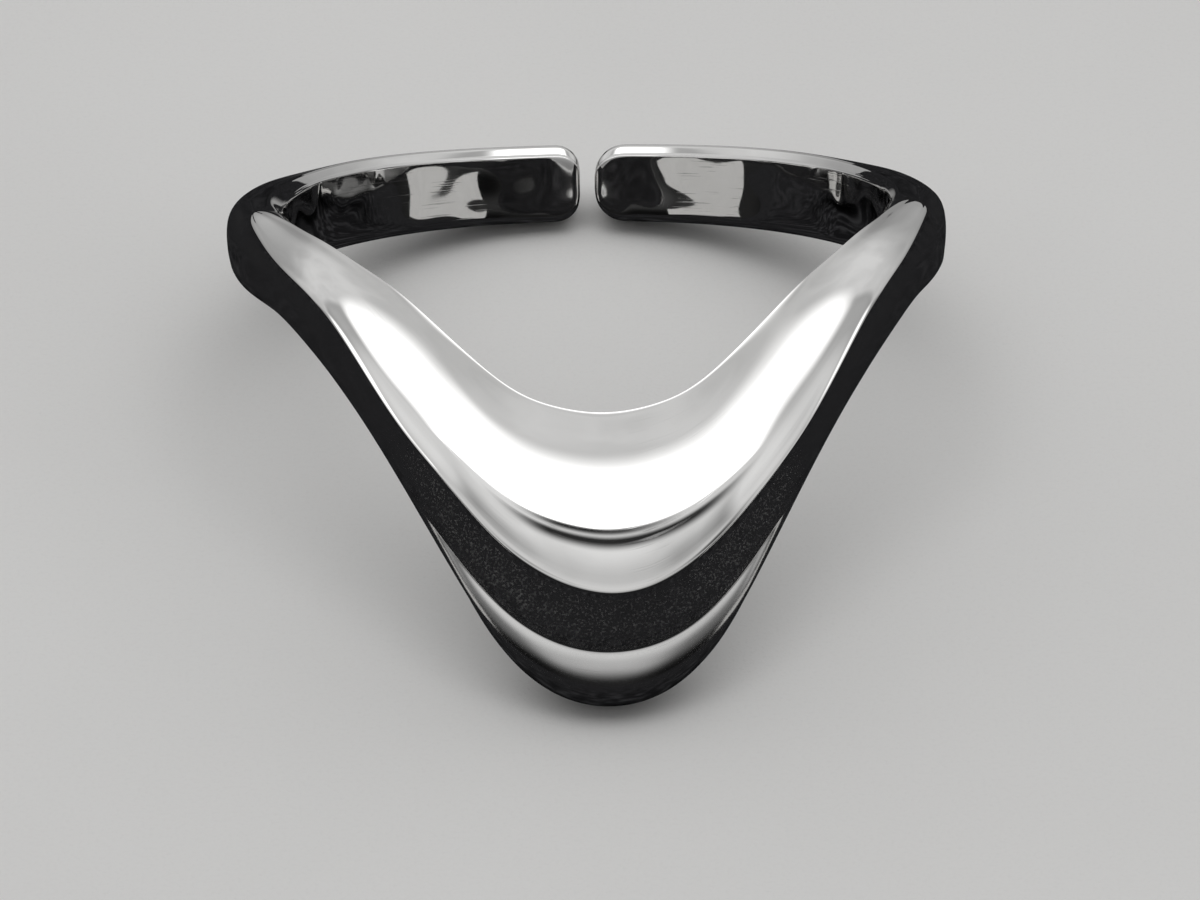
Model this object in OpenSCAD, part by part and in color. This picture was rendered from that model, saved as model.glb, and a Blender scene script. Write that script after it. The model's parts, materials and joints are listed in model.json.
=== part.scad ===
// Open ring of polished silver whose front sweeps down to a rounded point.
// It lies as it does on a table: on the front point and on the two ends at the back.
// Inside the Hidden section the ring is described upright first: the finger goes along Z,
// the front point faces -Y, and z = 0 is the lower edge of the band.

/* [Band] */
// Inner diameter, the size of the finger
inner_d = 17.1; // [15:0.1:21]
// Height of the band at the shoulders
band_h = 2.5; // [1.8:0.02:3]
// Height that the band loses on its way to the ends
end_taper = 0.2; // [0:0.02:0.4]
// Thickness of the band
band_t = 1.65; // [1.3:0.05:2.2]
// Extra thickness of the right arm, below its shoulder
arm_extra = 0.06; // [0:0.01:0.4]

/* [Ends] */
// Gap between the two ends
gap_w = 0.42; // [0.3:0.02:1.5]
// How far the gap lies to the right of the middle of the back
gap_side = 0.44; // [-1:0.02:1]
// Corner radius of the left end
end_round_left = 0.75; // [0.3:0.05:0.95]
// Corner radius of the right end
end_round_right = 0.95; // [0.3:0.05:0.95]

/* [Front] */
// Depth of the point below the lower edge of the band
front_depth = 9.88; // [6:0.05:12]
// Fall of the inner rim of the bright face, from the shoulders to the point
rim_drop = 4.46; // [3:0.1:6]
// Fall of the outer crease of the bright face, from the shoulders to the point
face_drop = 8.86; // [6:0.1:10]
// How far the outer crease stands out beyond the band at the point
front_reach = 1.3; // [0.6:0.05:2]
// How much wider the finger hole is at the lowest point of the front than at the band
front_flare = 0.1; // [0.02:0.02:0.3]
// Greatest bulge of the bright face above a flat one
face_crown = 0.5; // [0.2:0.05:0.8]
// Height of the rounded lip below the wall, at the point
lip_h = 1.42; // [0.6:0.02:1.6]
// How far the lip stands out of the crease above it
lip_out = 0.5; // [0.2:0.02:0.6]

/* [Face tips] */
// Angle from the point to the tip of the face on the left shoulder
tip_left = 80.5; // [76:0.5:88]
// Angle from the point to the tip of the face on the right shoulder
tip_right = 79.5; // [76:0.5:88]
// Angle over which each tip rounds off
tip_round = 4.5; // [3:0.5:12]
// Rounded step between the finger hole and the face, high on the left arm
rim_step_left = 0.38; // [0.1:0.02:0.5]
// Rounded step between the finger hole and the face, high on the right arm
rim_step_right = 0.2; // [0.1:0.02:0.5]

/* [Hidden] */

bore_r = inner_d / 2;
outer_r = bore_r + band_t;
trim = 0.03;
overrun = 1;

// Sections of an arm, one row every row_step degrees from the point to the band.
// rim, out_left, out_right and low are shares of rim_drop, face_drop and front_depth,
// reach is a share of front_reach, crown of face_crown and lip of lip_h.
row_step = 8;
RIM = 0;
OUT_LEFT = 1;
OUT_RIGHT = 2;
LOW = 3;
REACH = 4;
CROWN = 5;
LIP = 6;
sections = [
    //  rim  out_left  out_right   low   reach  crown   lip
    [ 1.01,      1.00,      1.00, 1.01,   1.02,  1.00, 1.00],
    [ 0.97,      0.95,      0.96, 0.98,   0.96,  1.00, 0.97],
    [ 0.89,      0.84,      0.83, 0.87,   0.77,  0.92, 0.84],
    [ 0.68,      0.66,      0.68, 0.65,   0.46,  0.75, 0.42],
    [ 0.47,      0.53,      0.54, 0.43,   0.22,  0.60, 0.06],
    [ 0.28,      0.34,      0.35, 0.25,   0.06,  0.48, 0.00],
    [ 0.17,      0.18,      0.18, 0.12,   0.00,  0.34, 0.00],
    [ 0.06,      0.12,      0.11, 0.05,  -0.08,  0.24, 0.00],
    [0.035,      0.09,      0.06, 0.01,  -0.25,  0.14, 0.00],
    [ 0.01,      0.05,      0.03, 0.00,  -0.36,  0.08, 0.00],
    [-0.02,      0.00,      0.00, 0.00,  -0.36,  0.05, 0.00],
];

// Smooth curve through the rows, the same on both sides of the point
function row_value(column, i) = sections[min(abs(i), len(sections) - 1)][column];
function weights(t) = [(1 - t) ^ 3, 3 * t ^ 3 - 6 * t ^ 2 + 4, -3 * t ^ 3 + 3 * t ^ 2 + 3 * t + 1, t ^ 3] / 6;
function share(column, angle) =
    let (u = abs(angle) / row_step, i = floor(u), w = weights(u - i))
    [for (k = [0:3]) w[k]] * [for (k = [0:3]) row_value(column, i - 1 + k)];

function mix(a, b, t) = a + (b - a) * t;
function ramp(x, from, to) =
    let (t = min(1, max(0, (x - from) / (to - from))))
    t * t * (3 - 2 * t);

// Places round the ring, in degrees from the point, positive to the right
end_left = -(180 - (gap_w / 2 - gap_side) / bore_r * 180 / PI);
end_right = 180 - (gap_w / 2 + gap_side) / bore_r * 180 / PI;
function tip(angle) = angle < 0 ? tip_left : tip_right;

// Height of the band's upper edge, and the radius of its outer wall
function top_z(angle) = band_h - end_taper * ramp(abs(angle), 120, 178);
function wall_r(angle) =
    outer_r + arm_extra * ramp(angle, 30, 50) * (1 - ramp(angle, 52, 84))
    + 0.8 * front_reach * max(0, share(REACH, angle));

// The bright face: its inner rim, its outer crease, and the share of its width left at its tip
rim_step = 0.1;
rim_step_tip = 0.5;
function rim_in(angle) =
    mix(rim_step, angle < 0 ? rim_step_left : rim_step_right, ramp(abs(angle), 36, 60));
function rim(angle) =
    [bore_r + rim_in(angle) + rim_step_tip * ramp(abs(angle), 68, 84),
     top_z(angle) - 0.02 - rim_drop * share(RIM, angle)];
function crease(angle) =
    [outer_r + front_reach * share(REACH, angle),
     top_z(angle) - 0.09 - face_drop * share(angle < 0 ? OUT_LEFT : OUT_RIGHT, angle)];
tip_width = 0.15;
function width_left(angle) =
    let (t = max(0, (abs(angle) - tip(angle) + tip_round) / tip_round))
    t >= 1 ? tip_width : max(tip_width, sqrt(1 - t ^ 2.4));

// Middle of the face. Behind its tip it becomes the crest of the domed band.
crest_in = 0.24;
function face_middle(angle) =
    let (held = sign(angle) * min(abs(angle), tip(angle)))
    mix((rim(held) + crease(held)) / 2,
        [bore_r + crest_in, top_z(angle)],
        ramp(abs(angle), tip(angle), 120));

// Lower edge of the ring, and the crease above the lip
function low_z(angle) = -front_depth * share(LOW, angle);
edge_round = 0.35;
edge_round_shoulder = 0.68;
function lower_round(angle) =
    mix(edge_round, edge_round_shoulder, ramp(abs(angle), 44, 66) * (1 - ramp(abs(angle), 110, 140)));
function lip_crease(angle) =
    [mix(wall_r(angle), outer_r, 0.28) - 0.17 * lower_round(angle),
     low_z(angle) + lower_round(angle) + lip_h * share(LIP, angle)];

// Quarter of an oval from one point to another, upright at the first and level at the second.
// fullness below 1 squares it off.
fullness = 0.9;
function quarter(upright, level, t) = [
    level[0] + (upright[0] - level[0]) * cos(90 * t) ^ fullness,
    upright[1] + (level[1] - upright[1]) * sin(90 * t) ^ fullness
];

// Point between a top and its foot: on a straight line when full is 0, or bulged out to a quarter
// of an oval when it is 1. The outside of the ring is fullest at the shoulders.
function slope(top, foot, t, full) = mix(mix(top, foot, t), quarter(foot, top, 1 - t), full);
function fullness_outside(angle) =
    mix(ramp(abs(angle), tip(angle) + 1, tip(angle) + 10), 0.5, ramp(abs(angle), 105, 130));

// Foot and top of the slope between the hole and the rim. Behind, it is a bevel.
rim_round = 0.1;
bevel_h = 0.27;
bevel_depth = 0.13;
function slope_depth(angle) =
    mix(mix(rim_round, angle < 0 ? rim_step_left : rim_step_right, ramp(abs(angle), 30, 50)),
        bevel_depth, ramp(abs(angle), 90, 125));
function slope_h(angle) =
    mix(mix(rim_round, 0.9 * (angle < 0 ? rim_step_left : rim_step_right), ramp(abs(angle), 30, 50)),
        bevel_h, ramp(abs(angle), 90, 125));
function slope_foot(angle, rim_at) = [bore_r - trim, rim_at[1] - slope_h(angle)];
function slope_top(angle, rim_at) =
    [min(rim_at[0], bore_r + slope_depth(angle)), rim_at[1] - 0.06 * ramp(abs(angle), 90, 125)];

// Share of the way that the outer wall leans in below the face, at the shoulders
function lean_in(angle) = 0.5 * ramp(abs(angle), 42, 60) * (1 - ramp(abs(angle), 66, 90));

// Control points of the section at one angle, as [radius, height], inner wall first
fine = 0.12;
function section_cage(angle) =
    let (
        middle = face_middle(angle),
        width = width_left(angle),
        a = mix(middle, rim(angle), width),
        b = mix(middle, crease(angle), width),
        along = (b - a) / norm(b - a + [0.001, 0]),
        up = [-along[1], along[0]],
        crown = face_crown * share(CROWN, angle) * width,
        near = min(fine, 0.05 + 0.25 * norm(b - a)),
        c = lip_crease(angle),
        low = low_z(angle),
        round = lower_round(angle),
        wall_top = slope_foot(angle, a),
        strip = slope_top(angle, a),
        wall_mid = [mix(wall_r(angle), b[0], lean_in(angle)), mix(b[1], c[1], 0.5)],
        wall_low = [mix(c[0], wall_mid[0], 0.75), mix(b[1], c[1], 0.8)],
        full = fullness_outside(angle),
        fan = ramp(abs(angle), tip(angle), tip(angle) + 5),
        lip = min(1, 1.6 * share(LIP, angle)),
        on_face = [
            mix(mix(wall_top, strip, 0.93), a, 0.75),
            a,
            a + along * near,
            mix(a, b, 0.28) + up * crown,
            mix(a, b, 0.56) + up * crown * 1.1,
            mix(a, b, 0.8) + up * crown * 0.72,
            b - along * near,
            b,
            slope(b, wall_mid, 0.1, full)
        ],
        on_dome = [for (k = [0:8])
            k < 4 ? mix(strip, middle, 0.04 + 0.24 * k)
            : slope(middle, wall_mid, 0.065 * (k - 4), full)],
        edge = [[-0.05, -0.13], [-0.2, -0.42], [-0.57, -0.8], [-1.2, -1], [-1.6, -1]],
        lip_points = [
            c + [0.05 * lip_out, -0.07],
            c + [0.22 * lip_out, -0.35],
            c + [0.3 * lip_out, -0.75],
            [c[0] + 0.16 * lip_out, low + 0.42],
            [c[0] - 0.28, low + 0.02]
        ]
    )
    concat(
        [
            [bore_r - trim, low + 0.15],
            [bore_r - trim, mix(low, wall_top[1], 0.35)],
            [bore_r - trim, mix(low, wall_top[1], 0.7)],
            wall_top,
            mix(wall_top, strip, 0.12),
            mix(wall_top, strip, 0.85)
        ],
        [for (k = [0:8]) mix(on_face[k], on_dome[k], fan)],
        [for (t = [0.3, 0.52, 0.76]) slope(b, wall_mid, t, full)],
        [wall_mid, wall_low, mix(wall_low, c, 0.8), c],
        [for (k = [0:4]) mix(c + round * edge[k], lip_points[k], lip)],
        [
            [mix(bore_r, c[0], 0.3), low + 0.15 * lip],
            [bore_r + 0.1, low + 0.5 * lip]
        ]
    );

// The same section near an end, where the corners round off
function round_at(angle) = angle < 0 ? end_round_left : end_round_right;
function from_end(angle) =
    (angle < 0 ? angle - end_left : end_right - angle) * PI / 180 * (bore_r + band_t / 2);
function corner(radius, distance) =
    distance >= radius ? 0 : radius - sqrt(max(0, radius ^ 2 - (radius - distance) ^ 2));
end_edge = 0.15;
function ended_cage(angle) =
    let (
        half = top_z(angle) / 2,
        squash = 1 - corner(round_at(angle), from_end(angle)) / half,
        narrow = 1 - 2 * corner(end_edge, from_end(angle)) / band_t,
        mid_r = bore_r + band_t / 2
    )
    from_end(angle) > 2
        ? section_cage(angle)
        : [for (p = section_cage(angle))
            [mid_r + (p[0] - mid_r) * narrow, half + (p[1] - half) * squash]];

// Smooth closed outline of a section, with more cuts across the broad face and round the lip
FACE_SPANS = [7, 12];
LIP_SPANS = [21, 26];
function is_in(i, spans) = i >= spans[0] && i <= spans[1];
function cuts(i) = is_in(i, FACE_SPANS) ? 3 : is_in(i, LIP_SPANS) ? 2 : 1;
function outline(cage) =
    let (n = len(cage))
    [for (i = [0:n - 1], cut = [0:cuts(i) - 1])
        let (w = weights(cut / cuts(i)))
        w * [for (k = [0:3]) cage[(i + k + n - 1) % n]]];

// Angles of the sections: close together at the tips of the face and at the ends
front_step = 3.75;
back_step = 6;
function steps(tip_at, end_at) = concat(
    [for (a = [front_step:front_step:72]) a],
    [for (d = [-6, -4.5, -3.4, -2.4, -1.5, -0.7, 0, 0.9, 2.3, 4.5]) tip_at + d],
    [for (a = [90:back_step:168]) a],
    [for (d = [6, 4.4, 3, 2, 1.2, 0.6, 0.2, 0]) end_at - d]
);
function reversed(list) = [for (i = [len(list) - 1:-1:0]) list[i]];
stations = concat(-reversed(steps(tip_left, -end_left)), [0], steps(tip_right, end_right));

function turned(p, angle) = [p[0] * sin(angle), -p[0] * cos(angle), p[1]];
rings = [for (angle = stations) [for (p = outline(ended_cage(angle))) turned(p, angle)]];
count = len(rings[0]);
points = [for (ring = rings) each ring];
faces = concat(
    [[for (j = [0:count - 1]) j]],
    [for (i = [0:len(rings) - 2], j = [0:count - 1])
        let (k = (j + 1) % count, base = i * count)
        each [[base + j, base + count + j, base + count + k], [base + j, base + count + k, base + k]]],
    [[for (j = [count - 1:-1:0]) (len(rings) - 1) * count + j]]
);

// Lying pose: the ring leans back until the front point and the ends touch the table
function lowest(tilt, sign) =
    min([for (p = points) if (p[1] * sign > 0) p[2] * cos(tilt) - p[1] * sin(tilt)]);
function lean(from, to, rounds) =
    let (tilt = (from + to) / 2)
    rounds == 0 ? tilt
    : lowest(tilt, -1) < lowest(tilt, 1) ? lean(tilt, to, rounds - 1)
    : lean(from, tilt, rounds - 1);
tilt = lean(5, 45, 14);
lying_y = [for (p = points) p[1] * cos(tilt) + p[2] * sin(tilt)];
ring_x = [for (p = points) p[0]];
place = [
    -(min(ring_x) + max(ring_x)) / 2,
    -(min(lying_y) + max(lying_y)) / 2,
    -lowest(tilt, -1)
];

module ring_band() {
    color("silver")
    translate(place)
    rotate([-tilt, 0, 0])
    difference() {
        polyhedron(points = points, faces = faces, convexity = 6);
        cylinder(r = bore_r, h = band_h + overrun, $fn = 120);
        translate([0, 0, -front_depth - overrun])
        cylinder(r1 = bore_r + front_flare, r2 = bore_r, h = front_depth + overrun, $fn = 120);
    }
}

ring_band();
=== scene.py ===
"""Open ring of polished silver with a swept front, lying on a pale studio floor."""

import json
from collections import namedtuple
from math import atan2, copysign, cos, degrees, floor, hypot, pi, radians, sin, sqrt

import bmesh
import bpy
from bpy.props import FloatProperty, FloatVectorProperty, PointerProperty
from mathutils import Matrix, Vector


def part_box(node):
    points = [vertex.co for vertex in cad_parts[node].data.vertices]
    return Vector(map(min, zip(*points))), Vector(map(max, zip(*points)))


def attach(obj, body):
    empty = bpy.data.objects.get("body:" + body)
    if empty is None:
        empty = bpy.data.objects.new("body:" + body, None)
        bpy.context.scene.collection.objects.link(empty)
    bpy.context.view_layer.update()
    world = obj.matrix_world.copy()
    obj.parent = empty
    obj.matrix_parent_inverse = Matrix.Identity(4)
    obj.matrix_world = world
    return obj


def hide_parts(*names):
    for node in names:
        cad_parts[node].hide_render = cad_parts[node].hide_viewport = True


bl_info = {
    "name": "Swept Silver Ring",
    "version": (1, 0, 0),
    "blender": (4, 5, 0),
    "location": "View3D > Sidebar > Ring",
    "description": "Models an open ring with a swept front, its polished silver and its studio",
    "category": "Mesh",
}

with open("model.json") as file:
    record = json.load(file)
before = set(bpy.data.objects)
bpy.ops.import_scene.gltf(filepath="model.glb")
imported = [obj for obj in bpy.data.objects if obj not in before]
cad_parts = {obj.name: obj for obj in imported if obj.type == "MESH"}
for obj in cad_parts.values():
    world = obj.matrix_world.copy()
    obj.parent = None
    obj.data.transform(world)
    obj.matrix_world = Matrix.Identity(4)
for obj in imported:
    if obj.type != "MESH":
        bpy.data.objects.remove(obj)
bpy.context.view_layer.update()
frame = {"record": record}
MM = 0.001


# Sizes of the ring

class RingBandSize(bpy.types.PropertyGroup):
    """Sizes of the band that goes round the finger"""

    inner_diameter: FloatProperty(
        name="Inner diameter", description="Size of the finger", default=17.1 * MM, unit="LENGTH")
    height: FloatProperty(
        name="Height", description="Height of the band at the shoulders", default=2.5 * MM, unit="LENGTH")
    end_taper: FloatProperty(
        name="End taper", description="Height that the band loses on its way to the ends",
        default=0.2 * MM, unit="LENGTH")
    thickness: FloatProperty(
        name="Thickness", description="Thickness of the band", default=1.65 * MM, unit="LENGTH")
    arm_extra: FloatProperty(
        name="Arm extra", description="Extra thickness of the right arm, below its shoulder",
        default=0.06 * MM, unit="LENGTH")
    gap: FloatProperty(
        name="Gap", description="Gap between the two ends", default=0.42 * MM, unit="LENGTH")
    gap_side: FloatProperty(
        name="Gap to the side", description="How far the gap lies to the right of the middle of the back",
        default=0.44 * MM, unit="LENGTH")
    end_round_left: FloatProperty(
        name="Left end rounding", description="Corner radius of the left end",
        default=0.75 * MM, unit="LENGTH")
    end_round_right: FloatProperty(
        name="Right end rounding", description="Corner radius of the right end",
        default=0.95 * MM, unit="LENGTH")


class RingFrontSize(bpy.types.PropertyGroup):
    """Sizes of the front that sweeps down to a point"""

    depth: FloatProperty(
        name="Depth", description="Depth of the point below the lower edge of the band",
        default=9.88 * MM, unit="LENGTH")
    rim_drop: FloatProperty(
        name="Rim drop", description="Fall of the face's inner rim, from the shoulders to the point",
        default=4.46 * MM, unit="LENGTH")
    face_drop: FloatProperty(
        name="Face drop", description="Fall of the face's outer crease, from the shoulders to the point",
        default=8.86 * MM, unit="LENGTH")
    reach: FloatProperty(
        name="Reach", description="How far the crease stands out beyond the band at the point",
        default=1.3 * MM, unit="LENGTH")
    flare: FloatProperty(
        name="Flare", description="How much wider the finger hole is at the lowest point than at the band",
        default=0.1 * MM, unit="LENGTH")
    crown: FloatProperty(
        name="Crown", description="Greatest bulge of the face above a flat one",
        default=0.5 * MM, unit="LENGTH")
    lip_height: FloatProperty(
        name="Lip height", description="Height of the rounded lip below the wall, at the point",
        default=1.42 * MM, unit="LENGTH")
    lip_out: FloatProperty(
        name="Lip reach", description="How far the lip stands out of the crease above it",
        default=0.5 * MM, unit="LENGTH")
    tip_left: FloatProperty(
        name="Left tip", description="Angle from the point to the left tip of the face",
        default=radians(80.5), subtype="ANGLE")
    tip_right: FloatProperty(
        name="Right tip", description="Angle from the point to the right tip of the face",
        default=radians(79.5), subtype="ANGLE")
    tip_round: FloatProperty(
        name="Tip rounding", description="Angle over which each tip rounds off",
        default=radians(4.5), subtype="ANGLE")
    rim_step_left: FloatProperty(
        name="Left rim step", description="Rounded step between the hole and the face on the left arm",
        default=0.38 * MM, unit="LENGTH")
    rim_step_right: FloatProperty(
        name="Right rim step", description="Rounded step between the hole and the face on the right arm",
        default=0.2 * MM, unit="LENGTH")


class SilverFinish(bpy.types.PropertyGroup):
    """Look of the polished silver"""

    colour: FloatVectorProperty(
        name="Silver", description="Colour of the clean metal", default=(0.93, 0.925, 0.915),
        subtype="COLOR", size=3, min=0, max=1)
    # The dulled colour is also the colour of the painted shade along the face's inner rim and its crease
    dulled_and_shaded_colour: FloatVectorProperty(
        name="Dulled silver", description="Colour where polish and air have dulled the metal",
        default=(0.74, 0.735, 0.725), subtype="COLOR", size=3, min=0, max=1)
    polish: FloatProperty(
        name="Polish roughness", description="Roughness of the mirror polish", default=0.04,
        min=0, max=1, subtype="FACTOR")
    scratched: FloatProperty(
        name="Scratch roughness", description="Roughness inside the hairline scratches", default=0.16,
        min=0, max=1, subtype="FACTOR")
    satin: FloatProperty(
        name="Satin roughness", description="Roughness of the wall and the lip below the face",
        default=0.16, min=0, max=1, subtype="FACTOR")
    grain_rough: FloatProperty(
        name="Grain roughness", description="Roughness of the raised grains of the wall below the face",
        default=0.4, min=0, max=1, subtype="FACTOR")
    grain_height: FloatProperty(
        name="Grain", description="Height of the fine grain that casting left on the wall below the face",
        default=0.001 * MM, unit="LENGTH")
    wave_height: FloatProperty(
        name="Polish waves", description="Height of the slight waves that hand polishing leaves",
        default=0.006 * MM, unit="LENGTH")
    inner_wave_height: FloatProperty(
        name="Inner waves", description="Height of the waves on the inner wall",
        default=0.3 * MM, unit="LENGTH")


class StudioSetup(bpy.types.PropertyGroup):
    """Camera, floor, dark table, tent and cards of the studio"""

    azimuth: FloatProperty(
        name="Azimuth", description="Camera's angle round the ring, from the front",
        default=radians(-3.671), subtype="ANGLE")
    elevation: FloatProperty(
        name="Elevation", description="Camera's angle above the floor", default=radians(39.84),
        subtype="ANGLE")
    roll: FloatProperty(
        name="Roll", description="Turn of the camera about its own line of sight",
        default=radians(1.108), subtype="ANGLE")
    distance: FloatProperty(
        name="Distance", description="Distance from the camera to the point that it is aimed at",
        default=201.1 * MM, unit="LENGTH")
    focal_length: FloatProperty(
        name="Focal length", description="Focal length in millimetres on a 36 mm wide sensor",
        default=211.8)
    aim: FloatVectorProperty(
        name="Aim", description="Point of the floor that the camera is aimed at",
        default=(0.306 * MM, -0.027 * MM, 0.0), subtype="TRANSLATION", size=3)
    floor_colour: FloatVectorProperty(
        name="Floor", description="Colour of the floor", default=(0.84, 0.835, 0.825),
        subtype="COLOR", size=3, min=0, max=1)
    floor_shade: FloatVectorProperty(
        name="Floor shade", description="Colour of the clouds and specks on the floor",
        default=(0.79, 0.785, 0.775), subtype="COLOR", size=3, min=0, max=1)
    table_colour: FloatVectorProperty(
        name="Table", description="Colour of the dark table that only the metal reflects",
        default=(0.012, 0.012, 0.013), subtype="COLOR", size=3, min=0, max=1)
    table_fleck: FloatVectorProperty(
        name="Table fleck", description="Lighter colour of the flecks on the dark table",
        default=(0.05, 0.05, 0.053), subtype="COLOR", size=3, min=0, max=1)
    tent_light: FloatProperty(
        name="High tent", description="Brightness of the pale tent, high up behind the ring",
        default=0.64, min=0)
    low_light: FloatProperty(
        name="Low tent", description="Brightness of the tent low behind the ring", default=0.35, min=0)
    front_light: FloatProperty(
        name="Front", description="Brightness of the tent in front, below the panel", default=0.72, min=0)
    panel_light: FloatProperty(
        name="Panel", description="Brightness of the ceiling panel above the ring", default=1.0, min=0)
    card_distance: FloatProperty(
        name="Card distance",
        description="Distance of the two low cards in front of the middle of the ring",
        default=40 * MM, unit="LENGTH")
    card_left: FloatVectorProperty(
        name="Left card", description="Where the left card starts and ends, to the side",
        default=(-80 * MM, -34 * MM), subtype="TRANSLATION", size=2)
    card_right: FloatVectorProperty(
        name="Right card", description="Where the right card starts and ends, to the side",
        default=(34 * MM, 105 * MM), subtype="TRANSLATION", size=2)
    card_upright: FloatVectorProperty(
        name="Card height", description="Where both cards start and end, above the floor",
        default=(4 * MM, 14 * MM), subtype="TRANSLATION", size=2)


# Sections of an arm, one row every 8 degrees from the point to the band. rim, out_left, out_right
# and low are shares of the drops and the depth, reach, crown and lip of the sizes of those names.
ROW_STEP = radians(8)
SectionRow = namedtuple("SectionRow", "rim out_left out_right low reach crown lip")
SECTIONS = [
    SectionRow(1.01, 1.00, 1.00, 1.01, 1.02, 1.00, 1.00),
    SectionRow(0.97, 0.95, 0.96, 0.98, 0.96, 1.00, 0.97),
    SectionRow(0.89, 0.84, 0.83, 0.87, 0.77, 0.92, 0.84),
    SectionRow(0.68, 0.66, 0.68, 0.65, 0.46, 0.75, 0.42),
    SectionRow(0.47, 0.53, 0.54, 0.43, 0.22, 0.60, 0.06),
    SectionRow(0.28, 0.34, 0.35, 0.25, 0.06, 0.48, 0.00),
    SectionRow(0.17, 0.18, 0.18, 0.12, 0.00, 0.34, 0.00),
    SectionRow(0.06, 0.12, 0.11, 0.05, -0.08, 0.24, 0.00),
    SectionRow(0.035, 0.09, 0.06, 0.01, -0.25, 0.14, 0.00),
    SectionRow(0.01, 0.05, 0.03, 0.00, -0.36, 0.08, 0.00),
    SectionRow(-0.02, 0.00, 0.00, 0.00, -0.36, 0.05, 0.00),
]


def mix(a, b, t):
    """Value or point between a, where t is 0, and b, where t is 1."""
    return a + (b - a) * t


def ramp(x, start, end):
    """Smooth step from 0 at start to 1 at end."""
    t = min(1.0, max(0.0, (x - start) / (end - start)))
    return t * t * (3 - 2 * t)


def turn_ramp(angle, start, end):
    """Smooth step from 0 to 1 between two angles from the point, in degrees, on either side of it."""
    return ramp(abs(angle), radians(start), radians(end))


def share(column, angle):
    """Smooth curve through one column of the sections, the same on both sides of the point."""
    u = abs(angle) / ROW_STEP
    i = floor(u)
    t = u - i
    weights = ((1 - t) ** 3, 3 * t ** 3 - 6 * t ** 2 + 4, -3 * t ** 3 + 3 * t ** 2 + 3 * t + 1, t ** 3)
    values = [getattr(SECTIONS[min(abs(i - 1 + k), len(SECTIONS) - 1)], column) for k in range(4)]
    return sum(w * v for w, v in zip(weights, values)) / 6


def quarter(upright, level, t, fullness=0.9):
    """Quarter of an oval from one point to another, upright at the first and level at the second."""
    fall = max(0.0, cos(pi / 2 * t)) ** fullness
    rise = max(0.0, sin(pi / 2 * t)) ** fullness
    return Vector((mix(level.x, upright.x, fall), mix(upright.y, level.y, rise)))


def slope(top, foot, t, full):
    """Point between a top and its foot: on a straight line, or bulged out to a quarter of an oval."""
    return mix(mix(top, foot, t), quarter(foot, top, 1 - t), full)


def corner(radius, distance):
    """How far a rounded corner is cut back at a distance from the end."""
    if distance >= radius:
        return 0.0
    return radius - sqrt(max(0.0, radius ** 2 - (radius - distance) ** 2))


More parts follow.
